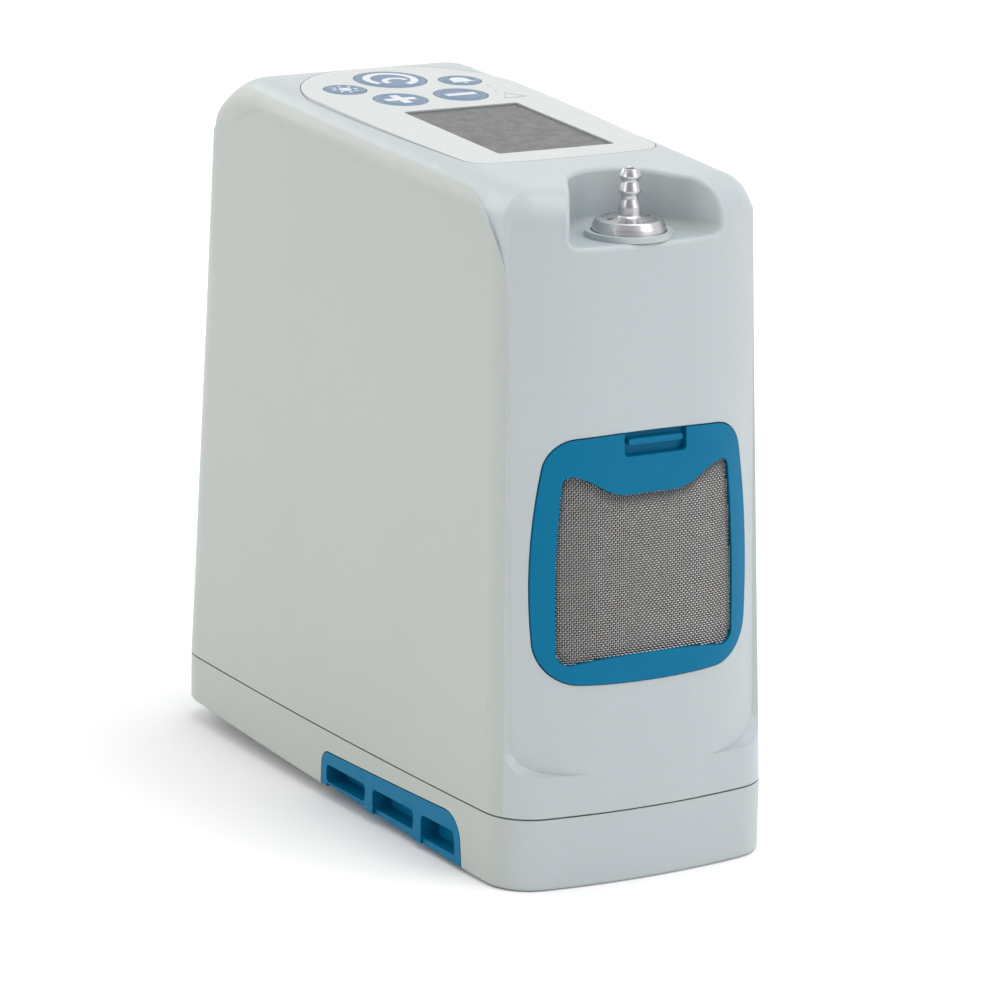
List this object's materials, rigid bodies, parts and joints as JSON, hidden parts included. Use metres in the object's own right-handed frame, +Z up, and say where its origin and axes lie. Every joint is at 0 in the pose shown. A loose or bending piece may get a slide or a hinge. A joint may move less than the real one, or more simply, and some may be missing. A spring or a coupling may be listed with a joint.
{
  "type": "portable oxygen concentrator",
  "caption": "Portable oxygen concentrator: tall slim casing with a nozzle pocket, screen and keys on top, a blue intake filter on the front and a slide-on battery with a latch.",
  "frame": {"origin": "centre of the footprint, on the surface it stands on", "axes": "+Z up; -Y is the intake and nozzle end; -X is the side with the battery latch; the length runs along Y"},
  "size_m": [0.0842, 0.1902, 0.1862],
  "materials": {
    "housing": "satin moulded",
    "label": "smooth printed film",
    "key": "soft touch",
    "accent_blue": "satin moulded",
    "screen": "smooth tinted",
    "mesh": "woven wire",
    "nozzle": "turned and anodised",
    "foam": "open cell",
    "chassis": "moulded",
    "cast_metal": "cast",
    "steel": "plain",
    "winding": "wound copper",
    "rubber": "matt",
    "board": "solder mask",
    "component": "moulded",
    "contact": "plated",
    "media": "packed beads",
    "cell": "foil pouch",
    "gauge": "smoked"
  },
  "bodies": {
    "housing": {"main_housing": "housing", "base_plate": "chassis", "label_panel": "label", "display_window": "screen", "display_module": "steel", "control_board": "board", "key_switches": "component", "intake_foam": "foam", "intake_duct": "chassis", "outlet_nozzle": "nozzle", "outlet_nut": "nozzle", "outlet_elbow": "chassis", "contact_block": "component", "housing_screws": "steel", "bulkhead": "chassis", "sieve_tubes": "cast_metal", "sieve_media": "media", "sieve_springs": "steel", "sieve_caps": "chassis", "valve_manifold": "chassis", "solenoid_valves": "component", "product_tank": "cast_metal", "crankcase": "cast_metal", "crankcase_cover": "cast_metal", "compressor_mounts": "rubber", "compressor_cylinders": "cast_metal", "compressor_heads": "cast_metal", "compressor_pistons": "cast_metal", "motor_can": "steel", "motor_stator": "winding", "fan_frame": "component", "exhaust_grille": "chassis", "main_board": "board", "board_components": "component", "alarm_buzzer": "component", "breath_sensor": "component", "power_jack": "component", "wiring_plug": "component"},
    "battery": {"battery_case": "housing", "battery_lid": "housing", "battery_pads": "contact", "battery_cells": "cell", "battery_board": "board", "charge_gauge": "gauge", "base_feet": "rubber", "latch_springs": "steel"},
    "latch": {"battery_latch": "accent_blue"},
    "filter": {"intake_frame": "accent_blue", "intake_mesh": "mesh"},
    "shaft": {"crankshaft": "steel", "motor_rotor": "steel"},
    "fan": {"fan_rotor": "component"},
    "key_power_cap": {"key_power": "key"},
    "key_plus_cap": {"key_plus": "key"},
    "key_minus_cap": {"key_minus": "key"},
    "key_alert_cap": {"key_alert": "key"},
    "key_light_cap": {"key_light": "key"}
  },
  "joints": [
    {"name": "battery_slide", "type": "slide", "parent": "housing", "child": "battery", "axis": [0, 1, 0], "range_m": [0, 0.014]},
    {"name": "latch_press", "type": "slide", "parent": "battery", "child": "latch", "axis": [1, 0, 0], "range_m": [0, 0.002], "stiffness_N_per_m": 1500},
    {"name": "filter_pull", "type": "slide", "parent": "housing", "child": "filter", "axis": [0, -1, 0], "range_m": [0, 0.012]},
    {"name": "shaft_spin", "type": "hinge", "parent": "housing", "child": "shaft", "pos_m": [0, 0.024, 0.068], "axis": [0, 1, 0], "continuous": true},
    {"name": "fan_spin", "type": "hinge", "parent": "housing", "child": "fan", "pos_m": [0, 0.073, 0.13], "axis": [0, 1, 0], "continuous": true},
    {"name": "key_power_press", "type": "slide", "parent": "housing", "child": "key_power_cap", "axis": [0, 0.0529, -0.9986], "range_m": [0, 0.0005], "stiffness_N_per_m": 1500},
    {"name": "key_plus_press", "type": "slide", "parent": "housing", "child": "key_plus_cap", "axis": [0, 0.0529, -0.9986], "range_m": [0, 0.0005], "stiffness_N_per_m": 1500},
    {"name": "key_minus_press", "type": "slide", "parent": "housing", "child": "key_minus_cap", "axis": [0, 0.0529, -0.9986], "range_m": [0, 0.0005], "stiffness_N_per_m": 1500},
    {"name": "key_alert_press", "type": "slide", "parent": "housing", "child": "key_alert_cap", "axis": [0, 0.0529, -0.9986], "range_m": [0, 0.0005], "stiffness_N_per_m": 1500},
    {"name": "key_light_press", "type": "slide", "parent": "housing", "child": "key_light_cap", "axis": [0, 0.0529, -0.9986], "range_m": [0, 0.0005], "stiffness_N_per_m": 1500}
  ]
}
